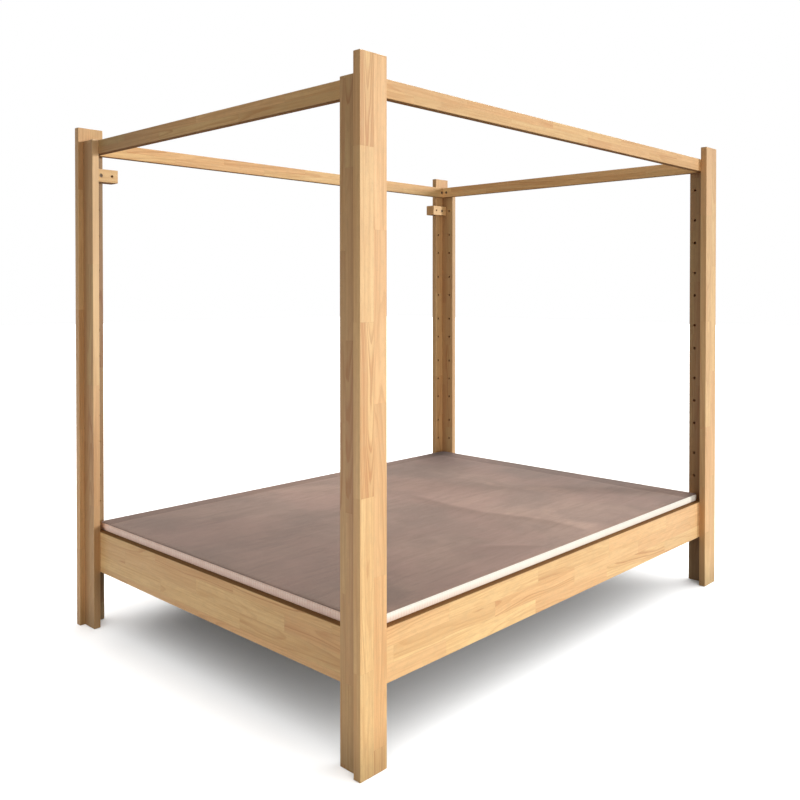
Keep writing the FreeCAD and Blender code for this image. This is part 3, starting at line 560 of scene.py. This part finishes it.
COVER_TINTS = {"deep": (0.306, 0.204, 0.158, 1), "light": (0.452, 0.294, 0.222, 1),
               "blush": (0.440, 0.262, 0.205, 1), "mottle": (0.318, 0.208, 0.158, 1),
               "streak": (0.285, 0.184, 0.140, 1), "dark hair": (0.255, 0.166, 0.128, 1),
               "pale hair": (0.500, 0.345, 0.270, 1), "slub": (0.440, 0.300, 0.232, 1),
               "hem edge": (0.50, 0.35, 0.27, 1)}
# Painted shade over the hem band
HEM_SHADE = (0.78, 0.72, 0.68, 1)
BACK_HEM = 0.078
RIGHT_HEM = 0.112
COVER_THREAD = 0.0011
BORDER_THREAD = 0.0009
RIB_PITCH = 0.011


def top_cover_material():
    """The taupe cover: a brushed weave with soft patches and long faint streaks along the bed; painted light
    across its middle and painted shade towards both ends; a hem at its back and right edges, darker with
    painted shade; and painted light and shade beside its folds."""
    material, shade, surface = new_material("taupe mattress cover", 0.92, 0.15)
    place = shade.put("TexCoord", out=3)
    x, y, _ = shade.split(place)
    threads = use_group(shade, WEAVE, {"Flat Place": place, "Pitch": COVER_THREAD})
    patches = shade.noise(place, 3.0, 4.0, 0.58, 0.8)
    blush = shade.noise(shade.vector("ADD", place, (3.7, 1.9, 0.0)), 2.1, 3.0, 0.5, 0.5)
    mottle = shade.noise(place, 16.0, 4.0, 0.6)
    streaks = shade.noise(shade.vector("MULTIPLY", place, (3.2, 46.0, 1.0)), 1.0, 4.0, 0.62)
    hairs = shade.noise(shade.vector("MULTIPLY", place, (8.0, 90.0, 1.0)), 1.0, 4.0, 0.7)
    colour = shade.mix(shade.step(patches, 0.36, 0.66), COVER_TINTS["deep"], COVER_TINTS["light"])
    for share, tint in (
            (shade.step(blush, 0.44, 0.62, 0.0, 0.60), "blush"),
            (shade.step(mottle, 0.3, 0.7, 0.0, 0.30), "mottle"),
            (shade.step(streaks, 0.46, 0.72, 0.0, 0.42), "streak"),
            (shade.step(hairs, 0.48, 0.70, 0.0, 0.40), "dark hair"),
            (shade.step(hairs, 0.28, 0.46, 0.30, 0.0), "pale hair"),
            (shade.step(threads["Slub"], 0.4, 0.62, 0.0, 0.35), "slub")):
        colour = shade.mix(share, colour, COVER_TINTS[tint])
    # Painted light in a broad band across the middle of the bed, and painted shade towards both ends
    drift = shade.noise(shade.vector("MULTIPLY", place, (1.3, 1.9, 1.0)), 1.0, 2.0)
    from_middle = shade.math("MULTIPLY_ADD", drift, 0.9, shade.math("SUBTRACT", x, 0.60))
    painted_shading = shade.step(shade.math("ABSOLUTE", from_middle), 0.10, 1.05, 1.06, 0.66)
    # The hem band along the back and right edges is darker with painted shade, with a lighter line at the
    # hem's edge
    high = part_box("mattress_top_panel")[1]
    wave = shade.math("MULTIPLY_ADD", shade.noise(place, 5.0, 2.0), 0.026, -0.013)
    to_back = shade.math("ADD", shade.math("SUBTRACT", high.y, y), wave)
    to_right = shade.math("ADD", shade.math("SUBTRACT", high.x, x), wave)
    past_hem = shade.math("MINIMUM", shade.step(to_back, BACK_HEM, BACK_HEM + 0.010),
                          shade.step(to_right, RIGHT_HEM, RIGHT_HEM + 0.012))
    colour = shade.mix(1.0, colour, shade.join(painted_shading, painted_shading, painted_shading), "MULTIPLY")
    colour = shade.mix(past_hem, shade.mix(1.0, colour, HEM_SHADE, "MULTIPLY"), colour)
    hem_edge = shade.math("MULTIPLY", past_hem, shade.math("SUBTRACT", 1.0, past_hem))
    colour = shade.mix(shade.math("MULTIPLY", hem_edge, 1.4), colour, COVER_TINTS["hem edge"])
    # Painted light on the right of each fold and painted shade on its left
    fold_shading = shade.put("Attribute", out=2, attribute_name="painted_fold_light_and_shade")
    fold_shading = shade.math("MULTIPLY_ADD", fold_shading, 0.13, 1.0)
    colour = shade.mix(1.0, colour, shade.join(fold_shading, fold_shading, fold_shading), "MULTIPLY")
    shade.feed(surface["Base Color"], colour)
    surface["Sheen Weight"].default_value = 0.12
    surface["Sheen Roughness"].default_value = 0.5
    height = shade.math("MULTIPLY_ADD", mottle, 0.8, threads["Height"])
    shade.feed(surface["Normal"], raise_surface(shade, height, 0.00025, 0.5))
    return material


# The border's cloth on its ribs and in the grooves between them, darker there with painted shade: along
# the sides, at the ends in a rosier copy with painted shade, and low down by the near post with warm
# painted shade. Then its thick threads, and the painted shade at the foot of its ends and at their far corner
SIDE_CLOTH = ((0.985, 0.955, 0.85, 1), (0.955, 0.90, 0.77, 1))
SHADED_END_CLOTH = ((0.985, 0.74, 0.61, 1), (0.84, 0.55, 0.43, 1))
SHADED_LOW_CLOTH = ((0.90, 0.74, 0.60, 1), (0.84, 0.62, 0.50, 1))
BORDER_SLUB = (0.965, 0.93, 0.86, 1)
END_FOOT_SHADE = (0.62, 0.42, 0.34, 1)
END_CORNER_SHADE = (0.30, 0.19, 0.16, 1)


def border_material():
    """The pale border: a knitted cloth with narrow upright ribs, with painted shade in their grooves, on the
    ends, low down by the near post, at the ends' foot and at their far corner.
    """
    material, shade, surface = new_material("pale mattress border", 0.88, 0.2)
    round_border = shade.put("UVMap", uv_map="round_border")
    along, up, _ = shade.split(round_border)
    ribs = shade.math("ABSOLUTE", shade.math("SINE", shade.math("MULTIPLY", along, math.pi / RIB_PITCH)))
    stitches = use_group(shade, WEAVE, {"Flat Place": round_border, "Pitch": BORDER_THREAD})
    mottle = shade.noise(shade.join(along, up, 0.0), 30.0, 3.0, 0.6)
    low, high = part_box("mattress_body")
    rail_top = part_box("front_side_rail")[1].z
    along_bed = shade.split(shade.put("TexCoord", out=3))[0]
    at_end = shade.step(shade.math("ABSOLUTE", along_bed), high.x - 0.012, high.x - 0.002)
    # The ends take a rosier copy of the cloth, darker with painted shade
    ground = shade.mix(at_end, SIDE_CLOTH[0], SHADED_END_CLOTH[0])
    groove = shade.mix(at_end, SIDE_CLOTH[1], SHADED_END_CLOTH[1])
    # Darker in the grooves between the ribs: painted shade
    colour = shade.mix(shade.step(ribs, 0.0, 0.55), groove, ground)
    colour = shade.mix(shade.step(mottle, 0.35, 0.7, 0.0, 0.5), colour, groove)
    colour = shade.mix(shade.step(stitches["Slub"], 0.42, 0.6, 0.0, 0.3), colour, BORDER_SLUB)
    # Warm painted shade low down on the long sides, strongest by the near post
    low_down = shade.step(up, rail_top + 0.008, rail_top + 0.022, 1.0, 0.0)
    blush = shade.math("MULTIPLY", shade.step(along_bed, low.x + 0.05, low.x + 0.85, 1.0, 0.2), low_down)
    blush = shade.math("MULTIPLY", blush, shade.math("SUBTRACT", 1.0, at_end))
    colour = shade.mix(blush, colour, shade.mix(shade.step(ribs, 0.0, 0.7), SHADED_LOW_CLOTH[1], SHADED_LOW_CLOTH[0]))
    # Painted shade at the foot of the ends and at their far corner
    end_foot = shade.math("MULTIPLY", at_end, shade.step(up, rail_top, rail_top + 0.022, 1.0, 0.0))
    colour = shade.mix(shade.math("MULTIPLY", end_foot, 0.5), colour, END_FOOT_SHADE)
    end_corner = shade.math("MULTIPLY", at_end, shade.step(along, high.y - 0.050, high.y - 0.006, 0.0, 0.85))
    colour = shade.mix(end_corner, colour, END_CORNER_SHADE)
    shade.feed(surface["Base Color"], colour)
    surface["Sheen Weight"].default_value = 0.1
    height = shade.math("MULTIPLY_ADD", stitches["Height"], 0.25, ribs)
    shade.feed(surface["Normal"], raise_surface(shade, height, 0.0006, 0.7))
    return material


WEBBING_EDGE = 0.004
HERRINGBONE = 0.0035
TWILL_PITCH = 0.0016


def webbing_material():
    """Flat cotton webbing with a herringbone face and two darker edge threads."""
    material, shade, surface = new_material("slat webbing", 0.9, 0.2)
    along, across, _ = shade.split(shade.put("TexCoord", out=3))
    low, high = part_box("back_slat_strap")
    middle, half = (low.y + high.y) / 2, (high.y - low.y) / 2
    from_middle = shade.math("SUBTRACT", shade.math("ABSOLUTE", across), middle)
    zigzag = shade.math("PINGPONG", across, HERRINGBONE)
    twill = shade.math("MULTIPLY", shade.math("ADD", along, zigzag), math.pi / TWILL_PITCH)
    height = shade.math("ABSOLUTE", shade.math("SINE", twill))
    edge = shade.step(shade.math("ABSOLUTE", from_middle), half - WEBBING_EDGE, half - WEBBING_EDGE + 0.001)
    # Darker where the twill lies low: painted shade
    colour = shade.mix(height, (0.58, 0.53, 0.44, 1), (0.80, 0.75, 0.65, 1))
    colour = shade.mix(shade.math("MULTIPLY", edge, 0.5), colour, (0.42, 0.36, 0.28, 1))
    shade.feed(surface["Base Color"], colour)
    shade.feed(surface["Normal"], raise_surface(shade, height, 0.0003, 0.7))
    return material


# Mattress

CORNER_RADIUS = 0.014
GRID_STEP = 0.016
SHOULDER = 0.0026
BORDER_RISE = 0.0042
COVER_LAP = 0.0052
COVER_FOOT = 0.0030
COVER_RIM = 0.0048
EDGE_BAND = 0.10
EDGE_FALL = 0.0022
HEM_DROP = 0.0016


def cut_flat(shape, place, normal):
    geometry = shape.verts[:] + shape.edges[:] + shape.faces[:]
    bmesh.ops.bisect_plane(shape, geom=geometry, dist=1e-6, plane_co=place, plane_no=normal)


def cut_across(shape, axis, low, high, step):
    """Loops across a shape, square to one axis and about one step apart."""
    count = round((high - low) / step)
    for number in range(1, count):
        cut_flat(shape, axis * (low + (high - low) * number / count), axis)


def rounded_slab(low, high, radius, rows, rings):
    """A block with rounded upright corners, gridded above and below, with loops round its sides at
    those heights and on its faces at those distances from its edge."""
    shape = bmesh.new()
    size, centre = high - low, (low + high) / 2
    matrix = Matrix.Translation(centre) @ Matrix.Diagonal((*size, 1))
    bmesh.ops.create_cube(shape, size=1, matrix=matrix)
    upright = [e for e in shape.edges if abs(e.verts[0].co.z - e.verts[1].co.z) > size.z / 2]
    bmesh.ops.bevel(shape, geom=upright, offset=radius, affect="EDGES", segments=6, profile=0.5,
                    material=-1)
    cut_across(shape, X_AXIS, low.x, high.x, GRID_STEP)
    cut_across(shape, Y_AXIS, low.y, high.y, GRID_STEP)
    for ring in rings:
        for axis, reach in ((X_AXIS, high.x), (Y_AXIS, high.y)):
            for side in (-1, 1):
                cut_flat(shape, axis * side * (reach - ring), axis)
    for height in rows:
        cut_flat(shape, Z_AXIS * height, Z_AXIS)
    return shape


def finish_shape(shape, name, material, node):
    """The shape as a smooth shaded piece of the mattress, put in place of the imported piece, which is
    hidden.
    """
    mesh = bpy.data.meshes.new(name)
    bmesh.ops.recalc_face_normals(shape, faces=shape.faces[:])
    shape.to_mesh(mesh)
    shape.free()
    mesh.shade_smooth()
    mesh.materials.append(material)
    piece = bpy.data.objects.new(name, mesh)
    bpy.context.scene.collection.objects.link(piece)
    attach(piece, "mattress")
    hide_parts(node)
    return piece


def smooth_share(value, low, high):
    share = min(1.0, max(0.0, (value - low) / (high - low)))
    return share * share * (3 - 2 * share)


def inside_outline(place, high, radius):
    """How far a point lies inside the slab's rounded outline, and the way outwards from it."""
    corner_x = max(0.0, abs(place.x) - (high.x - radius))
    corner_y = max(0.0, abs(place.y) - (high.y - radius))
    side_x, side_y = math.copysign(1, place.x), math.copysign(1, place.y)
    if corner_x and corner_y:
        outward = Vector((side_x * corner_x, side_y * corner_y, 0))
        return radius - outward.length, outward.normalized()
    if high.x - abs(place.x) < high.y - abs(place.y):
        return high.x - abs(place.x), X_AXIS * side_x
    return high.y - abs(place.y), Y_AXIS * side_y


SWELL = 0.0075
UNDERCUT = 0.012
UNDERCUT_ROWS = (0.004, 0.009, 0.016)
SWELL_ROWS = (0.02, 0.07, 0.2, 0.35, 0.5, 0.65, 0.78, 0.88, 0.95)


def mattress_border():
    """The foam body in its pale border, which swells a little above the rails."""
    low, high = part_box("mattress_body")
    top = high.z + BORDER_RISE
    rail_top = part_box("front_side_rail")[1].z
    rows = [low.z + rise for rise in UNDERCUT_ROWS] + [rail_top - 0.010]
    rows += [rail_top + share * (top - rail_top) for share in SWELL_ROWS]
    shape = rounded_slab(low, Vector((high.x, high.y, top)), CORNER_RADIUS, rows, (0.0012, SHOULDER, 0.008))
    middle, half = (rail_top + top) / 2, (top - rail_top) / 2
    for vertex in shape.verts:
        place = vertex.co.copy()
        inside, outward = inside_outline(place, high, CORNER_RADIUS)
        if place.z > top - 0.0001:
            vertex.co.z -= (BORDER_RISE + 0.0004) * smooth_share(inside, 0.0002, SHOULDER)
        if inside > 0.0001:
            continue
        lift = (place.z - middle) / half
        bulge = SWELL * math.sqrt(max(0.0, 1.0 - lift ** 4)) if abs(lift) < 1 else 0.0
        bulge -= 0.0018 * smooth_share(place.z, top - 0.002, top)
        bulge -= UNDERCUT * (1 - smooth_share(place.z, low.z, low.z + UNDERCUT_ROWS[-1]))
        ripple = noise.noise(Vector((place.x * 7, place.y * 7, place.z * 9)))
        bulge += 0.0008 * ripple * smooth_share(place.z, rail_top, middle)
        vertex.co += outward * bulge
    around = shape.loops.layers.uv.new("round_border")
    for face in shape.faces:
        face.normal_update()
        turned = abs(face.normal.y) > abs(face.normal.x)
        for loop in face.loops:
            place = loop.vert.co
            loop[around].uv = (place.x if turned else place.y, place.z)
    return finish_shape(shape, "mattress_border_cover", border_material(),
                        "mattress_body")


# The lines of the cover's two folds, from back to front
CREASE = [(0.118, 0.16), (0.100, 0.02), (0.090, -0.12), (0.095, -0.26), (0.128, -0.40), (0.162, -0.52),
          (0.165, -0.70)]
SHORT_FOLD = [(-0.323, -0.503), (-0.22, -0.60), (-0.115, -0.695)]


def beside_line(place, line):
    """How far a point lies to the right of a soft line that runs towards the front, or None past it."""
    if not line[-1][1] <= place.y <= line[0][1]:
        return None
    for (x0, y0), (x1, y1) in zip(line, line[1:]):
        if place.y >= y1:
            share = (y0 - place.y) / (y0 - y1)
            return place.x - (x0 + (x1 - x0) * share)
    return None


def fold_height(place, line, rise, gentle, steep):
    """A soft fold: it rises gently on its right and falls steeply on its left."""
    offset = beside_line(place, line)
    if offset is None:
        return 0.0
    ends = smooth_share(line[0][1] - place.y, 0.0, 0.12) * smooth_share(place.y - line[-1][1], 0.0, 0.06)
    width = gentle if offset > 0 else steep
    return rise * ends * math.exp(-(offset / width) ** 2)


def painted_fold_light_and_shade(place):
    """Painted light on the right of each fold and painted shade on its left, fading out away from it."""
    tone = 0.0
    for line, reach in ((CREASE, 0.30), (SHORT_FOLD, 0.10)):
        offset = beside_line(place, line)
        if offset is not None:
            ends = smooth_share(line[0][1] - place.y, 0.0, 0.10)
            side = 2 * smooth_share(offset, -0.012, 0.012) - 1
            tone += ends * side * math.exp(-abs(offset) / reach)
    return tone


def hem_height(place, high):
    """A folded hem lies under the cover along its back and right edges, with a wavy line at its end."""
    wave = 0.006 * noise.noise(Vector((place.x * 5, place.y * 5, 1.7)))
    back = smooth_share(high.y - place.y + wave, BACK_HEM, BACK_HEM + 0.012)
    right = smooth_share(high.x - place.x + wave, RIGHT_HEM, RIGHT_HEM + 0.014)
    return -HEM_DROP * (1 - min(back, right))


def cover_height(place, inside, high):
    """The crown of the cover: a slope near its edges, soft hollows, folds, the hem and fine ripples."""
    height = EDGE_FALL * smooth_share(inside, 0.0, EDGE_BAND) + 0.0016 * smooth_share(inside, 0.0, 0.006)
    calm = smooth_share(inside, 0.01, 0.16)
    height += 0.0026 * noise.noise(Vector((place.x * 2.3, place.y * 2.9, 3.1))) * calm
    height += 0.0010 * noise.noise(Vector((place.x * 4.0, place.y * 13.0, 7.7))) * calm
    height += fold_height(place, CREASE, 0.0026, 0.13, 0.030) * calm
    height += fold_height(place, SHORT_FOLD, 0.0018, 0.06, 0.024)
    return height + hem_height(place, high)


def mattress_cover():
    """The taupe top panel, which laps over the border's upper edge."""
    low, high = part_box("mattress_top_panel")
    edge = Vector((high.x + COVER_LAP, high.y + COVER_LAP, low.z + COVER_RIM))
    foot = Vector((-edge.x, -edge.y, low.z + COVER_FOOT))
    shape = rounded_slab(foot, edge, CORNER_RADIUS + COVER_LAP, [], (0.0012, 0.003, 0.008))
    painted_shading = shape.verts.layers.float.new("painted_fold_light_and_shade")
    for vertex in shape.verts:
        if vertex.co.z > low.z + (COVER_FOOT + COVER_RIM) / 2:
            inside = inside_outline(vertex.co, edge, CORNER_RADIUS + COVER_LAP)[0]
            vertex.co.z += cover_height(vertex.co, inside, edge)
        vertex[painted_shading] = painted_fold_light_and_shade(vertex.co)
    return finish_shape(shape, "mattress_top_cover", top_cover_material(),
                        "mattress_top_panel")


# Studio

def aim(thing, toward):
    thing.rotation_mode = "QUATERNION"
    thing.rotation_quaternion = Vector(toward).to_track_quat("Z", "Y")


def light_from(name, toward, level, spread):
    """A soft distant light from a direction: a plain white face square to it shows that level."""
    lamp = bpy.data.lights.new(name, "SUN")
    lamp.energy = level * math.pi
    lamp.angle = math.radians(spread)
    thing = bpy.data.objects.new(name, lamp)
    aim(thing, toward)
    bpy.context.scene.collection.objects.link(thing)
    return thing


def low_panel(name, place, toward, level, width, height):
    """A long low light panel: it gives that level at the bed's nearest faces, less further up."""
    lamp = bpy.data.lights.new(name, "AREA")
    lamp.shape = "RECTANGLE"
    lamp.size, lamp.size_y = width, height
    lamp.energy = level * math.pi ** 2 * Vector(toward).length_squared
    thing = bpy.data.objects.new(name, lamp)
    thing.location = place
    thing.visible_camera = False
    aim(thing, toward)
    bpy.context.scene.collection.objects.link(thing)
    return thing


def seen_plainly(shade):
    """1 where the camera, a reflection or glass looks, 0 for the light that falls on things."""
    path = shade.put("LightPath").node.outputs
    seen = shade.math("MAXIMUM", path["Is Camera Ray"], path["Is Glossy Ray"])
    return shade.math("MAXIMUM", seen, path["Is Transmission Ray"])


WORLD_LEVEL = 0.08


def studio_world():
    world = bpy.data.worlds.new("studio")
    bpy.context.scene.world = world
    world.use_nodes = True
    shade = Shade(world.node_tree)
    strength = shade.math("MULTIPLY_ADD", seen_plainly(shade), 1.0 - WORLD_LEVEL, WORLD_LEVEL)
    shade.feed(world.node_tree.nodes["Background"].inputs["Strength"], strength)
    world.node_tree.nodes["Background"].inputs["Color"].default_value = (1, 1, 1, 1)


FLOOR_HALF = 30.0
FLOOR_WHITE = (0.97, 0.97, 0.965, 1)
FLOOR_BOUNCE = (0.018, 0.018, 0.018, 1)


def studio_floor():
    """A wide white floor that takes the bed's shadow and throws back only a little light."""
    shape = bmesh.new()
    bmesh.ops.create_grid(shape, x_segments=1, y_segments=1, size=FLOOR_HALF,
                          matrix=Matrix.Translation((0, 0, -0.0005)))
    mesh = bpy.data.meshes.new("floor")
    shape.to_mesh(mesh)
    shape.free()
    floor = bpy.data.objects.new("floor", mesh)
    bpy.context.scene.collection.objects.link(floor)
    material, shade, surface = new_material("white floor", 1.0, 0.0)
    shade.feed(surface["Base Color"], shade.mix(seen_plainly(shade), FLOOR_BOUNCE, FLOOR_WHITE))
    mesh.materials.append(material)
    return floor


def share_lights(floor, bed_lights, floor_lights):
    """The floor has lights of its own, so that its white doesn't come from more light on the bed."""
    for name, lights, state in (("all but the floor", bed_lights, "EXCLUDE"),
                                ("the floor", floor_lights, "INCLUDE")):
        receivers = bpy.data.collections.new(name)
        receivers.objects.link(floor)
        receivers.collection_objects[0].light_linking.link_state = state
        for light in lights:
            light.light_linking.receiver_collection = receivers


def studio_camera():
    lens = bpy.data.cameras.new("camera")
    lens.sensor_fit = "HORIZONTAL"
    lens.sensor_width = 36.0
    lens.lens = CAMERA_LENS
    lens.shift_x, lens.shift_y = CAMERA_SHIFT
    lens.clip_end = 200.0
    camera = bpy.data.objects.new("camera", lens)
    camera.location = CAMERA_PLACE
    camera.rotation_euler = (math.radians(90 - CAMERA_PITCH), 0, math.radians(-CAMERA_YAW))
    bpy.context.scene.collection.objects.link(camera)
    bpy.context.scene.camera = camera


def studio():
    studio_camera()
    studio_world()
    floor = studio_floor()
    bed_lights = [
        light_from("front light", (0.80, -1.0, 0.17), 0.65, 14),
        light_from("fill light", (-1.0, -0.45, 0.28), 0.19, 70),
        light_from("top light", (1.0, 0.6, 0.95), 1.10, 45),
        low_panel("front low panel", (-0.3, -3.7, 0.50), (0.0, -2.95, 0.0), 0.60, 4.0, 0.5),
        low_panel("left low panel", (-3.1, 0.1, 0.30), (-2.05, 0.0, 0.0), 0.50, 2.6, 0.4)]
    # The glow under the bed stands for what a white floor and the bed throw back and forth there
    floor_lights = [
        light_from("floor light", (0.26, -0.45, 0.9), 1.85, 150),
        light_from("low floor light", (1.0, -0.25, 0.52), 0.60, 70),
        low_panel("floor glow", (0.0, 0.0, 0.24), (0.0, 0.0, 0.24), 0.75, 1.9, 1.3)]
    share_lights(floor, bed_lights, floor_lights)
    bpy.context.scene.view_settings.view_transform = "Standard"


finish_wood()
finish_metal()
for strap in ("front_slat_strap", "back_slat_strap"):
    finish_node(strap, webbing_material())
mattress_border()
mattress_cover()
studio()
